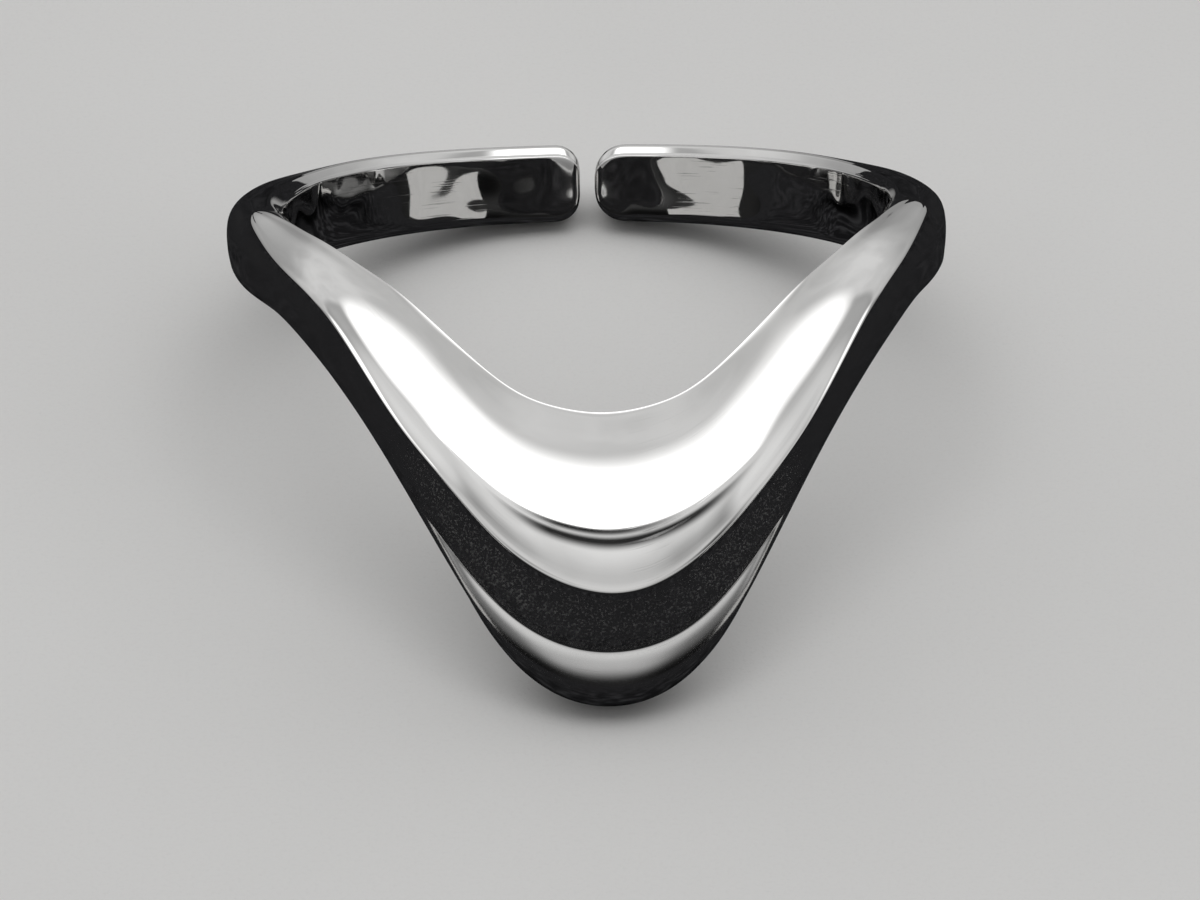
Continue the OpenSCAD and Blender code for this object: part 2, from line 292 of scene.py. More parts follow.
class RingForm:
    """The ring upright: the finger goes along Z, the point faces -Y, z = 0 is the band's lower edge.

    Angles go round the ring from the point, positive to the right. A place in a section is
    (distance from the finger's axis, height).
    """

    # The wall of the finger hole: the rounding of its foot, without and with the lip, and rows of points
    # up the wall and on the slope from its top to the rim
    foot_inset = 0.1 * MM
    foot_round = 0.15 * MM
    foot_round_lip = 0.8 * MM
    foot_rise_lip = 0.5 * MM
    wall_rows = (0.35, 0.7)
    slope_rows = (0.12, 0.85)

    # Rim and crease of the face
    rim_step = 0.1 * MM
    rim_step_tip = 0.5 * MM
    rim_round = 0.1 * MM
    rim_height = 0.9
    rim_row = 0.93
    rim_near = 0.75
    rim_below_top = 0.02 * MM
    crease_below_top = 0.09 * MM
    fine = 0.12 * MM
    fine_least = 0.05 * MM
    fine_share = 0.25
    least_width = 0.001 * MM

    # The tips of the face, and the domed band behind them, with a bevel on its inner edge
    tip_width = 0.15
    tip_bluntness = 2.4
    crest_in = 0.24 * MM
    bevel_height = 0.27 * MM
    bevel_depth = 0.13 * MM
    bevel_fall = 0.06 * MM
    dome_rows = (0.04, 0.28, 0.52, 0.76)

    # The face: rows of points across it, and how much of the crown each has
    face_rows = ((0.28, 1.0), (0.56, 1.1), (0.8, 0.72))

    # The wall below the crease: how far it leans out, and rows of points down it
    wall_reach = 0.8
    wall_lean = 0.5
    crease_row = 0.1
    below_rows = (0.3, 0.52, 0.76)
    outside_row = 0.065
    wall_mid_row = 0.5
    wall_low_out = 0.75
    wall_low_row = 0.8
    wall_end_row = 0.8

    # The lower edge: its rounding, and where it is plain, its points as shares of that rounding
    edge_round = 0.35 * MM
    edge_round_shoulder = 0.68 * MM
    edge_lean = 0.28
    edge_inset = 0.17
    plain_edge = ((-0.05, -0.13), (-0.2, -0.42), (-0.57, -0.8), (-1.2, -1.0), (-1.6, -1.0))
    underside_row = 0.3

    # The lip: how soon it is full, its points below its crease, as shares of its reach and as drops,
    # and its two lowest points, out of the crease and above the foot
    lip_growth = 1.6
    lip_swell = ((0.05, -0.07 * MM), (0.22, -0.35 * MM), (0.3, -0.75 * MM))
    lip_turn_out = 0.16
    lip_turn_rise = 0.42 * MM
    lip_foot_in = 0.28 * MM
    lip_foot_rise = 0.02 * MM

    # The corners of the two ends
    end_edge = 0.15 * MM
    end_zone = 2 * MM

    # Turns from the point, in degrees, between which a form grows or fades
    arm_grows = (30, 50)
    arm_extra_fades = (52, 84)
    rim_step_grows = (36, 60)
    tip_step_grows = (68, 84)
    wall_lean_grows = (42, 60)
    wall_lean_fades = (66, 90)
    shoulder_grows = (44, 66)
    shoulder_fades = (110, 140)
    bevel_grows = (90, 125)
    taper_grows = (120, 178)
    half_round_grows = (105, 130)
    half_round = 0.5
    crest_turn = radians(120)

    # Turns past the tip of the face, between which the outside rounds off and the band becomes domed
    outside_rounds = (radians(1), radians(10))
    dome_grows = radians(5)

    # Turns of the sections, in degrees: along the front, from the tip, along the back and from the end
    front_sections = tuple(3 * k for k in range(1, 24))
    tip_sections = (-8, -6.3, -5, -4, -3.1, -2.3, -1.6, -1, -0.5, 0, 0.6, 1.4, 2.5, 4, 6)
    back_sections = tuple(90 + 3.5 * k for k in range(23))
    end_sections = (7, 5.4, 4.2, 3.2, 2.4, 1.7, 1.1, 0.6, 0.25, 0)
    end_clear = 9

    def __init__(self, band, front):
        self.band = band
        self.front = front
        self.bore = band.inner_diameter / 2
        self.outer = self.bore + band.thickness
        self.end_left = -(pi - (band.gap / 2 - band.gap_side) / self.bore)
        self.end_right = pi - (band.gap / 2 + band.gap_side) / self.bore

    def tip(self, angle):
        """Turn of the face's tip on the side of an angle."""
        return self.front.tip_left if angle < 0 else self.front.tip_right

    def top_z(self, angle):
        """Height of the band's top, which falls a little towards the ends."""
        return self.band.height - self.band.end_taper * turn_ramp(angle, *self.taper_grows)

    def hole(self, z):
        """Radius of the finger hole at a height: it widens slightly on its way down the front."""
        return self.bore + self.front.flare * max(0.0, -z) / self.front.depth

    def wall(self, angle):
        """Radius of the wall below the crease. The right arm is slightly thicker."""
        arm = turn_ramp(angle, *self.arm_grows) * (1 - turn_ramp(angle, *self.arm_extra_fades))
        arm = arm if angle > 0 else 0.0
        reach = self.wall_reach * self.front.reach * max(0.0, share("reach", angle))
        return self.outer + self.band.arm_extra * arm + reach

    def rim(self, angle):
        """Inner rim of the face."""
        high = self.front.rim_step_left if angle < 0 else self.front.rim_step_right
        step = mix(self.rim_step, high, turn_ramp(angle, *self.rim_step_grows))
        step += self.rim_step_tip * turn_ramp(angle, *self.tip_step_grows)
        fall = self.front.rim_drop * share("rim", angle)
        return Vector((self.bore + step, self.top_z(angle) - self.rim_below_top - fall))

    def crease(self, angle):
        """Outer crease of the face."""
        side = "out_left" if angle < 0 else "out_right"
        fall = self.front.face_drop * share(side, angle)
        reach = self.front.reach * share("reach", angle)
        return Vector((self.outer + reach, self.top_z(angle) - self.crease_below_top - fall))

    def width_left(self, angle):
        """Share of the face's width that is left where its tip rounds off."""
        t = max(0.0, (abs(angle) - self.tip(angle) + self.front.tip_round) / self.front.tip_round)
        return self.tip_width if t >= 1 else max(self.tip_width, sqrt(1 - t ** self.tip_bluntness))

    def face_middle(self, angle):
        """Middle of the face. Behind its tip it becomes the crest of the domed band."""
        held = copysign(min(abs(angle), self.tip(angle)), angle)
        crest = Vector((self.bore + self.crest_in, self.top_z(angle)))
        back = ramp(abs(angle), self.tip(angle), self.crest_turn)
        return mix((self.rim(held) + self.crease(held)) / 2, crest, back)

    def low_z(self, angle):
        """Height of the lower edge."""
        return -self.front.depth * share("low", angle)

    def fullness_outside(self, angle):
        """How far the outside of the ring bulges: 0 is a straight slope, 1 a quarter of an oval."""
        side = ramp(abs(angle) - self.tip(angle), *self.outside_rounds)
        return mix(side, self.half_round, turn_ramp(angle, *self.half_round_grows))

    def lower_round(self, angle):
        """Size of the rounding of the lower edge, which is softer at the shoulders."""
        shoulder = turn_ramp(angle, *self.shoulder_grows) * (1 - turn_ramp(angle, *self.shoulder_fades))
        return mix(self.edge_round, self.edge_round_shoulder, shoulder)

    def inner_edge(self, angle, rim):
        """Foot and top of the slope between the hole and the rim. Behind, it is a bevel."""
        step = self.front.rim_step_left if angle < 0 else self.front.rim_step_right
        arm = turn_ramp(angle, *self.arm_grows)
        back = turn_ramp(angle, *self.bevel_grows)
        depth = mix(mix(self.rim_round, step, arm), self.bevel_depth, back)
        height = mix(mix(self.rim_round, self.rim_height * step, arm), self.bevel_height, back)
        foot = Vector((self.hole(rim.y), rim.y - height))
        return foot, Vector((min(rim.x, foot.x + depth), rim.y - self.bevel_fall * back))

    def lip_crease(self, angle):
        """Crease between the wall and the lip, or the lower edge where there is no lip."""
        lower = self.lower_round(angle)
        radius = mix(self.wall(angle), self.outer, self.edge_lean) - self.edge_inset * lower
        return Vector((radius, self.low_z(angle) + lower + self.front.lip_height * share("lip", angle)))

    def wall_points(self, angle, rim, low, lip):
        """Points up the inner wall, and the two that end the slope between it and the rim."""
        wall_top, strip = self.inner_edge(angle, rim)
        heights = [low + mix(self.foot_round, self.foot_round_lip, lip)]
        heights += [mix(low, wall_top.y, row) for row in self.wall_rows]
        return [Vector((self.hole(z), z)) for z in heights], wall_top, strip

    def lip_points(self, lip_top, low):
        """Points of the lip, from below its crease to its foot."""
        out = self.front.lip_out
        points = [lip_top + Vector((swell * out, drop)) for swell, drop in self.lip_swell]
        points.append(Vector((lip_top.x + self.lip_turn_out * out, low + self.lip_turn_rise)))
        points.append(Vector((lip_top.x - self.lip_foot_in, low + self.lip_foot_rise)))
        return points

    def plain_section(self, angle):
        """Control points of the section at one angle, inner wall first."""
        middle = self.face_middle(angle)
        width = self.width_left(angle)
        rim = mix(middle, self.rim(angle), width)
        crease = mix(middle, self.crease(angle), width)
        across = crease - rim
        along = across / hypot(across.x + self.least_width, across.y)
        up = Vector((-along.y, along.x))
        crown = self.front.crown * share("crown", angle) * width
        near = min(self.fine, self.fine_least + self.fine_share * across.length)
        lip_top = self.lip_crease(angle)
        low = self.low_z(angle)
        lip = min(1.0, self.lip_growth * share("lip", angle))
        wall, wall_top, strip = self.wall_points(angle, rim, low, lip)
        lean = turn_ramp(angle, *self.wall_lean_grows) * (1 - turn_ramp(angle, *self.wall_lean_fades))
        wall_mid = Vector((
            mix(self.wall(angle), crease.x, self.wall_lean * lean),
            mix(crease.y, lip_top.y, self.wall_mid_row)))
        wall_low = Vector((
            mix(lip_top.x, wall_mid.x, self.wall_low_out),
            mix(crease.y, lip_top.y, self.wall_low_row)))
        full = self.fullness_outside(angle)
        on_face = [
            mix(mix(wall_top, strip, self.rim_row), rim, self.rim_near),
            rim,
            rim + along * near,
            *(mix(rim, crease, row) + up * crown * part for row, part in self.face_rows),
            crease - along * near,
            crease,
            slope(crease, wall_mid, self.crease_row, full),
        ]
        on_dome = [mix(strip, middle, row) for row in self.dome_rows]
        on_dome += [slope(middle, wall_mid, self.outside_row * k, full) for k in range(5)]
        past_tip = ramp(abs(angle) - self.tip(angle), 0.0, self.dome_grows)
        lower = self.lower_round(angle)
        edge = [lip_top + lower * Vector(offset) for offset in self.plain_edge]
        return [
            *wall,
            wall_top,
            *(mix(wall_top, strip, row) for row in self.slope_rows),
            *(mix(flat, domed, past_tip) for flat, domed in zip(on_face, on_dome)),
            *(slope(crease, wall_mid, row, full) for row in self.below_rows),
            wall_mid,
            wall_low,
            mix(wall_low, lip_top, self.wall_end_row),
            lip_top,
            *(mix(plain, swollen, lip) for plain, swollen in zip(edge, self.lip_points(lip_top, low))),
            Vector((mix(self.bore, lip_top.x, self.underside_row), low + self.foot_round * lip)),
            Vector((self.hole(low) + self.foot_inset, low + self.foot_rise_lip * lip)),
        ]

    def section(self, angle):
        """The section, squashed and narrowed where the corners of an end round off."""
        points = self.plain_section(angle)
        left = angle < 0
        middle = Vector((self.bore + self.band.thickness / 2, self.top_z(angle) / 2))
        from_end = (angle - self.end_left if left else self.end_right - angle) * middle.x
        if from_end > self.end_zone:
            return points
        end_round = self.band.end_round_left if left else self.band.end_round_right
        squash = 1 - corner(end_round, from_end) / middle.y
        narrow = 1 - 2 * corner(self.end_edge, from_end) / self.band.thickness
        return [middle + Vector(((p.x - middle.x) * narrow, (p.y - middle.y) * squash)) for p in points]

    def stations(self):
        """Angles of the sections: close together at the tips of the face and at the ends."""
        def arm(tip, end):
            at_tip = [tip + turn for turn in self.tip_sections]
            back = [turn for turn in self.back_sections if turn < end - self.end_clear]
            at_end = [end - turn for turn in self.end_sections]
            return [*self.front_sections, *at_tip, *back, *at_end]
        left = arm(degrees(self.front.tip_left), degrees(-self.end_left))
        right = arm(degrees(self.front.tip_right), degrees(self.end_right))
        return [radians(turn) for turn in (*(-turn for turn in reversed(left)), 0.0, *right)]


# Modelling

END_INSET = 0.1 * MM
SMOOTHING = 2


def start_fresh():
    """Deselects everything, so that an operator acts only on what is added next."""
    if bpy.context.object and bpy.context.object.mode != "OBJECT":
        bpy.ops.object.mode_set(mode="OBJECT")
    bpy.ops.object.select_all(action="DESELECT")


def place_loop(ring, form, angle):
    """Puts the selected loop of points at its places in the section at one angle."""
    points = form.section(angle)
    mesh = bmesh.from_edit_mesh(ring.data)
    order = mesh.verts.layers.float["section_place"]
    turn = mesh.verts.layers.float["turn"]
    for vert in mesh.verts:
        if vert.select:
            p = points[round(vert[order])]
            vert.co = (p.x * sin(angle), -p.x * cos(angle), p.y)
            vert[turn] = angle
    bmesh.update_edit_mesh(ring.data)


def number_section_points(ring):
    """Numbers the points of the first loop, so that each keeps its place as the loop is extruded.

    The finish reads both numbers: the place in the section, and the turn round the ring.
    """
    mesh = bmesh.from_edit_mesh(ring.data)
    mesh.verts.layers.float.new("turn")
    order = mesh.verts.layers.float.new("section_place")
    for number, vert in enumerate(mesh.verts):
        vert[order] = number
    bmesh.update_edit_mesh(ring.data)


def extrude_along(ring, form):
    """Extrudes the first loop from section to section, round the finger and down the front."""
    stations = form.stations()
    place_loop(ring, form, stations[0])
    for angle in stations[1:]:
        bpy.ops.mesh.extrude_region_move()
        place_loop(ring, form, angle)


def close_ends(count):
    """Fills the two ends, and insets each fill so that the end stays flat."""
    bpy.ops.mesh.select_all(action="SELECT")
    bpy.ops.mesh.fill_holes(sides=0)
    bpy.ops.mesh.select_all(action="DESELECT")
    bpy.ops.mesh.select_face_by_sides(number=count, type="EQUAL")
    bpy.ops.mesh.inset(thickness=END_INSET, use_even_offset=False)
    bpy.ops.mesh.select_all(action="SELECT")
    bpy.ops.mesh.normals_make_consistent(inside=False)


def corners_of(points):
    """Lowest and highest corner of a list of points."""
    return (Vector(min(p[i] for p in points) for i in range(3)),
            Vector(max(p[i] for p in points) for i in range(3)))


def lay_down(ring, node):
    """Leans the ring back as the record says, and sets it inside the solid that it stands for."""
    axis = frame["record"]["mounts"][0]["axis"]
    ring.rotation_euler.x = -atan2(axis[1], axis[2])
    bpy.ops.object.transform_apply(location=False, rotation=True, scale=False)
    low, high = corners_of([vert.co for vert in ring.data.vertices])
    box_low, box_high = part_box(node)
    fit = min(1.0, *((box_high[i] - box_low[i]) / (high[i] - low[i]) for i in range(3)))
    ring.scale = (fit, fit, fit)
    ring.location.x = (box_low.x + box_high.x - fit * (low.x + high.x)) / 2
    ring.location.y = (box_low.y + box_high.y - fit * (low.y + high.y)) / 2
    ring.location.z = box_low.z - fit * low.z
    bpy.ops.object.transform_apply(location=True, rotation=False, scale=True)


class RING_OT_model_ring(bpy.types.Operator):
    """Model the ring as one piece of silver"""

    bl_idname = "ring.model_ring"
    bl_label = "Model the Ring"
    bl_options = {"REGISTER", "UNDO"}

    def execute(self, context):
        form = RingForm(context.scene.ring_band, context.scene.ring_front)
        count = len(form.section(0.0))
        start_fresh()
        bpy.ops.mesh.primitive_circle_add(
            vertices=count, radius=form.band.thickness / 2, location=(0, 0, 0))
        ring = context.object
        ring.name = ring.data.name = "silver_ring"
        bpy.ops.object.mode_set(mode="EDIT")
        number_section_points(ring)
        extrude_along(ring, form)
        close_ends(count)
        bpy.ops.object.mode_set(mode="OBJECT")
        bpy.ops.object.modifier_add(type="SUBSURF")
        smooth = ring.modifiers[-1]
        smooth.levels = smooth.render_levels = SMOOTHING
        bpy.ops.object.modifier_apply(modifier=smooth.name)
        bpy.ops.object.shade_smooth()
        lay_down(ring, "ring_band")
        ring.data.materials.append(polished_silver(context.scene.silver_finish))
        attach(ring, "root")
        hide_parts("ring_band")
        return {"FINISHED"}


# Materials

# Places in a section, from 0 to 28: the inner wall up to 3, its upper edge, the inner rim of the face at
# 7, the face, its crease at 13, the wall below it, and from 21 on the lip and the underside. Each row of
# four gives where an effect starts, where it is full, where it is still full and where it ends.
INNER_WALL_END = 3
BELOW_FACE = (14.0, 15.0, 28.0, 29.0)
GRAINY_WALL = (14.0, 15.0, 20.0, 21.0)
# Painted shade: the metal along the face's inner rim is drawn darker here
RIM_PAINTED_SHADE = (6.0, 7.0, 8.0, 9.6)
# Painted shade: the metal along the face's outer crease is drawn darker here
CREASE_PAINTED_SHADE = (11.4, 12.8, 13.4, 14.4)

# Turns from the point, in radians: where the grainy wall starts, is full, is still full and ends, and
# between which turns the painted shade along the rim and the waves of the inner wall grow
GRAINY_TURN = (-0.85, -0.4, 0.4, 0.85)
RIM_SHADE_TURN = (0.1, 0.45)
UNEVEN_TURN = (1.6, 2.1)

# Soft patches: how fine they are, and the values of the noise between which they fade in
HAIRLINES = (1.0, 0.56, 0.72)
WORN_PATCHES = (320.0, 0.42, 0.68)
CASTING_GRAIN = (15000.0, 0.3, 0.7)
FLOOR_CLOUDS = (40.0, 0.3, 0.7)
FLOOR_SPECKS = (9000.0, 0.45, 0.8)
TABLE_STONE = (1400.0, 0.42, 0.7)
CARD_FIBRES = (300.0, 0.3, 0.7)
TENT_CLOTH = (2.2, 0.3, 0.7)
PATCH_DETAIL = 3.0

# Hairlines to one radian along the sweep, to one place across it, and their depth
HAIRLINES_ALONG = 5.0
HAIRLINES_ACROSS = 12.0
HAIRLINE_DEPTH = 0.0003 * MM

# How much of the dulled colour each kind of wear brings in, and how much the painted shade along the rim
# and along the crease brings in. The painted shade of the rim grows along the arms.
WORN_DULLING = 0.25
SATIN_DULLING = 0.4
RIM_SHADE_STRENGTH = (0.2, 1.0)
CREASE_SHADE_STRENGTH = 0.8
HAIRLINE_DULLING = 0.2

# Roughness of the satin zone between the grains, as a share of its full one, and the strength of the
# grain from which a grain is rough
SATIN_BETWEEN = 0.8
ROUGH_GRAIN = 0.35

# Fineness of the polish waves, and their share of full height inside the front
WAVE_SCALE = 380.0
WAVE_DETAIL = 0.5
FRONT_WAVES = 0.15

# Floor and cards: shares of clouds and specks in the floor's shade, height of the specks, and roughness
CLOUD_SHARE = 0.6
SPECK_SHARE = 0.4
SPECK_HEIGHT = 0.004 * MM
FLOOR_ROUGHNESS = (0.8, 0.95)
CARD_ROUGHNESS = (0.85, 0.95)

# Painted light: a lighter strip of the dark table, close behind the ring, that the metal reflects. Where it
# starts, is full, is still full and ends towards the back, and between which places to the side it fades
PAINTED_LIGHT_BACK = (11 * MM, 13 * MM, 18 * MM, 24 * MM)
PAINTED_LIGHT_SIDE = (5 * MM, 9 * MM)
PAINTED_LIGHT_STRENGTH = 0.5

# Sockets of a Mix node that mixes colours
FIRST_COLOUR = 6
SECOND_COLOUR = 7
MIXED_COLOUR = 2


class NodeSums:
    """Writes sums of node values as plain calls, each with the node that it adds."""

    def __init__(self, tree):
        self.nodes = tree.nodes
        self.links = tree.links

    def put(self, value, socket):
        if isinstance(value, bpy.types.NodeSocket):
            self.links.new(value, socket)
        else:
            socket.default_value = value

    def math(self, operation, a, b=0.0):
        node = self.nodes.new("ShaderNodeMath")
        node.operation = operation
        self.put(a, node.inputs[0])
        self.put(b, node.inputs[1])
        return node.outputs["Value"]

    def step(self, value, start, end, low=0.0, high=1.0):
        """Smooth step of a value, from low at start to high at end."""
        node = self.nodes.new("ShaderNodeMapRange")
        node.interpolation_type = "SMOOTHSTEP"
        for socket, given in zip(node.inputs, (value, start, end, low, high)):
            self.put(given, socket)
        return node.outputs["Result"]

    def window(self, value, start, start_full, end_full, end):
        """1 between the two full values, fading to 0 at the outer two."""
        rise = self.step(value, start, start_full)
        return self.math("MULTIPLY", rise, self.step(value, end_full, end, 1.0, 0.0))

    def attribute(self, name):
        """Value that the piece's own mesh holds under a name."""
        node = self.nodes.new("ShaderNodeAttribute")
        node.attribute_name = name
        return node.outputs["Fac"]

    def patches(self, place, scale, fade_start, fade_end):
        """Mask of soft patches."""
        node = self.nodes.new("ShaderNodeGroup")
        node.node_tree = soft_patches()
        for socket, given in zip(node.inputs, (place, scale, fade_start, fade_end)):
            self.put(given, socket)
        return node.outputs["Mask"]

    def mix_colours(self, mask, first, second):
        """First colour where the mask is 0, second where it is 1."""
        node = self.nodes.new("ShaderNodeMix")
        node.data_type = "RGBA"
        self.put(mask, node.inputs["Factor"])
        for number, colour in ((FIRST_COLOUR, first), (SECOND_COLOUR, second)):
            given = colour if isinstance(colour, bpy.types.NodeSocket) else (*colour, 1.0)
            self.put(given, node.inputs[number])
        return node.outputs[MIXED_COLOUR]

    def bump(self, height):
        """Normal of a surface raised by a height in metres."""
        node = self.nodes.new("ShaderNodeBump")
        node.inputs["Distance"].default_value = 1.0
        self.put(height, node.inputs["Height"])
        return node.outputs["Normal"]


def new_material(name):
    """A material with only a Principled BSDF and its output. Returns its nodes, links and shader."""
    material = bpy.data.materials.new(name)
    material.use_nodes = True
    tree = material.node_tree
    return material, tree.nodes, tree.links, tree.nodes["Principled BSDF"]


def soft_patches():
    """Node group: uneven patches that fade at their edges, for the metal, the floor and the tent."""
    name = "soft patches"
    if name in bpy.data.node_groups:
        return bpy.data.node_groups[name]
    tree = bpy.data.node_groups.new(name, "ShaderNodeTree")
    tree.interface.new_socket("Place", in_out="INPUT", socket_type="NodeSocketVector")
    for socket in ("Scale", "Fade Start", "Fade End"):
        tree.interface.new_socket(socket, in_out="INPUT", socket_type="NodeSocketFloat")
    tree.interface.new_socket("Mask", in_out="OUTPUT", socket_type="NodeSocketFloat")
    given = tree.nodes.new("NodeGroupInput")
    result = tree.nodes.new("NodeGroupOutput")
    noise = tree.nodes.new("ShaderNodeTexNoise")
    noise.inputs["Detail"].default_value = PATCH_DETAIL
    tree.links.new(given.outputs["Place"], noise.inputs["Vector"])
    tree.links.new(given.outputs["Scale"], noise.inputs["Scale"])
    sums = NodeSums(tree)
    mask = sums.step(noise.outputs["Fac"], given.outputs["Fade Start"], given.outputs["Fade End"])
    tree.links.new(mask, result.inputs["Mask"])
    return tree


def polished_silver(finish):
    """Mirror polish with hairlines that run along the sweep, a satin wall and lip below the face, and
    painted shade along the face's inner rim and its crease.
    """
    material, nodes, links, shader = new_material("polished_silver")
    sums = NodeSums(material.node_tree)
    shader.inputs["Metallic"].default_value = 1.0
    here = nodes.new("ShaderNodeTexCoord").outputs["Object"]
    across = sums.attribute("section_place")
    turn = sums.attribute("turn")
    along = nodes.new("ShaderNodeCombineXYZ")
    links.new(sums.math("MULTIPLY", turn, HAIRLINES_ALONG), along.inputs["X"])
    links.new(sums.math("MULTIPLY", across, HAIRLINES_ACROSS), along.inputs["Y"])
    inside = sums.step(across, INNER_WALL_END, INNER_WALL_END + 1, 1.0, 0.0)
    below = sums.window(across, *BELOW_FACE)

    worn = sums.patches(here, *WORN_PATCHES)
    hairlines = sums.math("MULTIPLY", sums.patches(along.outputs["Vector"], *HAIRLINES), worn)
    grain = sums.patches(here, *CASTING_GRAIN)
    grainy = sums.math("MULTIPLY", sums.window(across, *GRAINY_WALL), sums.window(turn, *GRAINY_TURN))
    grainy = sums.math("MULTIPLY", grain, grainy)

    aside = sums.math("ABSOLUTE", turn)
    # Painted shade along the face's inner rim, stronger along the arms
    rim_painted_shade = sums.step(aside, *RIM_SHADE_TURN, *RIM_SHADE_STRENGTH)
    # The dulled colour comes from real wear, hairlines and the satin zone, and from painted shade along the
    # rim and the crease
    dulled_and_shaded = sums.math("MULTIPLY", worn, WORN_DULLING)
    for wear_and_shade, darkening in (
            (below, SATIN_DULLING),
            # painted shade along the inner rim
            (sums.window(across, *RIM_PAINTED_SHADE), rim_painted_shade),
            # painted shade along the crease of the face
            (sums.window(across, *CREASE_PAINTED_SHADE), CREASE_SHADE_STRENGTH),
            (hairlines, HAIRLINE_DULLING)):
        dulled_and_shaded = sums.math("ADD", dulled_and_shaded, sums.math("MULTIPLY", wear_and_shade, darkening))
    colour = sums.mix_colours(dulled_and_shaded, finish.colour, finish.dulled_and_shaded_colour)
    links.new(colour, shader.inputs["Base Color"])

    rough = sums.step(hairlines, 0.0, 1.0, finish.polish, finish.scratched)
    satin = sums.step(grain, 0.0, 1.0, finish.satin * SATIN_BETWEEN, finish.satin)
    satin = sums.math("MULTIPLY", below, satin)
    rough_grains = sums.step(grainy, ROUGH_GRAIN, 1.0, 0.0, finish.grain_rough)
    satin = sums.math("MAXIMUM", satin, rough_grains)
    links.new(sums.math("MAXIMUM", rough, satin), shader.inputs["Roughness"])

    wave = nodes.new("ShaderNodeTexNoise")
    wave.inputs["Scale"].default_value = WAVE_SCALE
    wave.inputs["Detail"].default_value = WAVE_DETAIL
    links.new(here, wave.inputs["Vector"])
    uneven = sums.math("MULTIPLY", inside, sums.step(aside, *UNEVEN_TURN, FRONT_WAVES, 1.0))
    wave_height = sums.step(uneven, 0.0, 1.0, finish.wave_height, finish.inner_wave_height)
    height = sums.math("MULTIPLY", wave.outputs["Fac"], wave_height)
    height = sums.math("SUBTRACT", height, sums.math("MULTIPLY", hairlines, HAIRLINE_DEPTH))
    height = sums.math("ADD", height, sums.math("MULTIPLY", grainy, finish.grain_height))
    links.new(sums.bump(height), shader.inputs["Normal"])
    return material


def pale_floor(setup):
    """A matt pale floor. Reflections in the polished metal show it as a dark stone table, with a strip of
    painted light close behind the ring.
    """
    material, nodes, links, shader = new_material("pale_floor")
    sums = NodeSums(material.node_tree)
    place = nodes.new("ShaderNodeTexCoord").outputs["Object"]
    clouds = sums.patches(place, *FLOOR_CLOUDS)
    specks = sums.patches(place, *FLOOR_SPECKS)
    mottled = sums.math("ADD", sums.math("MULTIPLY", clouds, CLOUD_SHARE),
                        sums.math("MULTIPLY", specks, SPECK_SHARE))
    links.new(sums.mix_colours(mottled, setup.floor_colour, setup.floor_shade), shader.inputs["Base Color"])
    links.new(sums.step(clouds, 0.0, 1.0, *FLOOR_ROUGHNESS), shader.inputs["Roughness"])
    links.new(sums.bump(sums.math("MULTIPLY", specks, SPECK_HEIGHT)), shader.inputs["Normal"])

    split = nodes.new("ShaderNodeSeparateXYZ")
    links.new(place, split.inputs["Vector"])
    aside = sums.math("ABSOLUTE", split.outputs["X"])
    # Painted light: a pale strip on the dark table close behind the ring, for the metal to reflect
    painted_light_strip = sums.math("MULTIPLY", sums.window(split.outputs["Y"], *PAINTED_LIGHT_BACK),
                    sums.step(aside, *PAINTED_LIGHT_SIDE, PAINTED_LIGHT_STRENGTH, 0.0))
    stone = sums.mix_colours(sums.patches(place, *TABLE_STONE), setup.table_colour, setup.table_fleck)
    table = nodes.new("ShaderNodeBsdfDiffuse")
    table.name = table.label = "dark table"
    links.new(sums.mix_colours(painted_light_strip, stone, setup.floor_colour), table.inputs["Color"])
    ray = nodes.new("ShaderNodeLightPath")
    seen = nodes.new("ShaderNodeMixShader")
    links.new(ray.outputs["Is Glossy Ray"], seen.inputs["Fac"])
    links.new(shader.outputs["BSDF"], seen.inputs[1])
    links.new(table.outputs["BSDF"], seen.inputs[2])
    links.new(seen.outputs["Shader"], nodes["Material Output"].inputs["Surface"])
    return material


def pale_card(setup):
    """Matt pale paper for the cards that the inner wall of the band reflects."""
    material, nodes, links, shader = new_material("pale_card")
    sums = NodeSums(material.node_tree)
    fibres = sums.patches(nodes.new("ShaderNodeTexCoord").outputs["Object"], *CARD_FIBRES)
    links.new(sums.mix_colours(fibres, setup.floor_colour, setup.floor_shade), shader.inputs["Base Color"])
    links.new(sums.step(fibres, 0.0, 1.0, *CARD_ROUGHNESS), shader.inputs["Roughness"])
    return material


# Studio

# The tent's light depends only on its direction. Forward and sideways are how far a direction leans to
# the front and to the side for each step up: 0 is overhead, and 1 is 45 degrees down from there. A row
# of four gives where an effect starts, where it is full, where it is still full and where it ends.
PANEL_FORWARD = (-0.3, 0.1, 0.5, 0.53)
PANEL_SIDE = (0.36, 0.6)
PANEL_WIDENING = 0.5
THIN_SEAM_FORWARD = (0.5, 0.53, 0.545, 0.61)
THIN_SEAM_SIDE = (0.05, 0.28)
WIDE_SEAM_FORWARD = (0.58, 0.65, 0.68, 0.84)
WIDE_SEAM_SIDEWAYS = (-0.5, -0.15, 0.35, 1.1)
SEAM_DARKNESS = 0.97

# Between these two leans, the light in front goes from its own to a share of the high tent's.
FRONT_FORWARD = (0.8, 1.25)
FRONT_SHARE = 0.78

# Darker corners of the front, from the middle to the side, and darker walls beside the ring, from behind
# it to the front
CORNER_SIDE = (0.22, 0.55, 0.95, 1.35)
BESIDE_FRONT = (-0.12, 0.0, 0.22, 0.4)

# Two heights, or two places to the side, and then the light or the shade at each: the front fades near
# the table, the corners are darker low down, and the walls beside the ring far to the side
FRONT_FADE = (0.12, 0.52, 0.03, 1.0)
CORNER_HEIGHT = (0.5, 0.72, 0.7, 0.0)
BESIDE_SIDE = (0.3, 0.55, 0.0, 0.4)

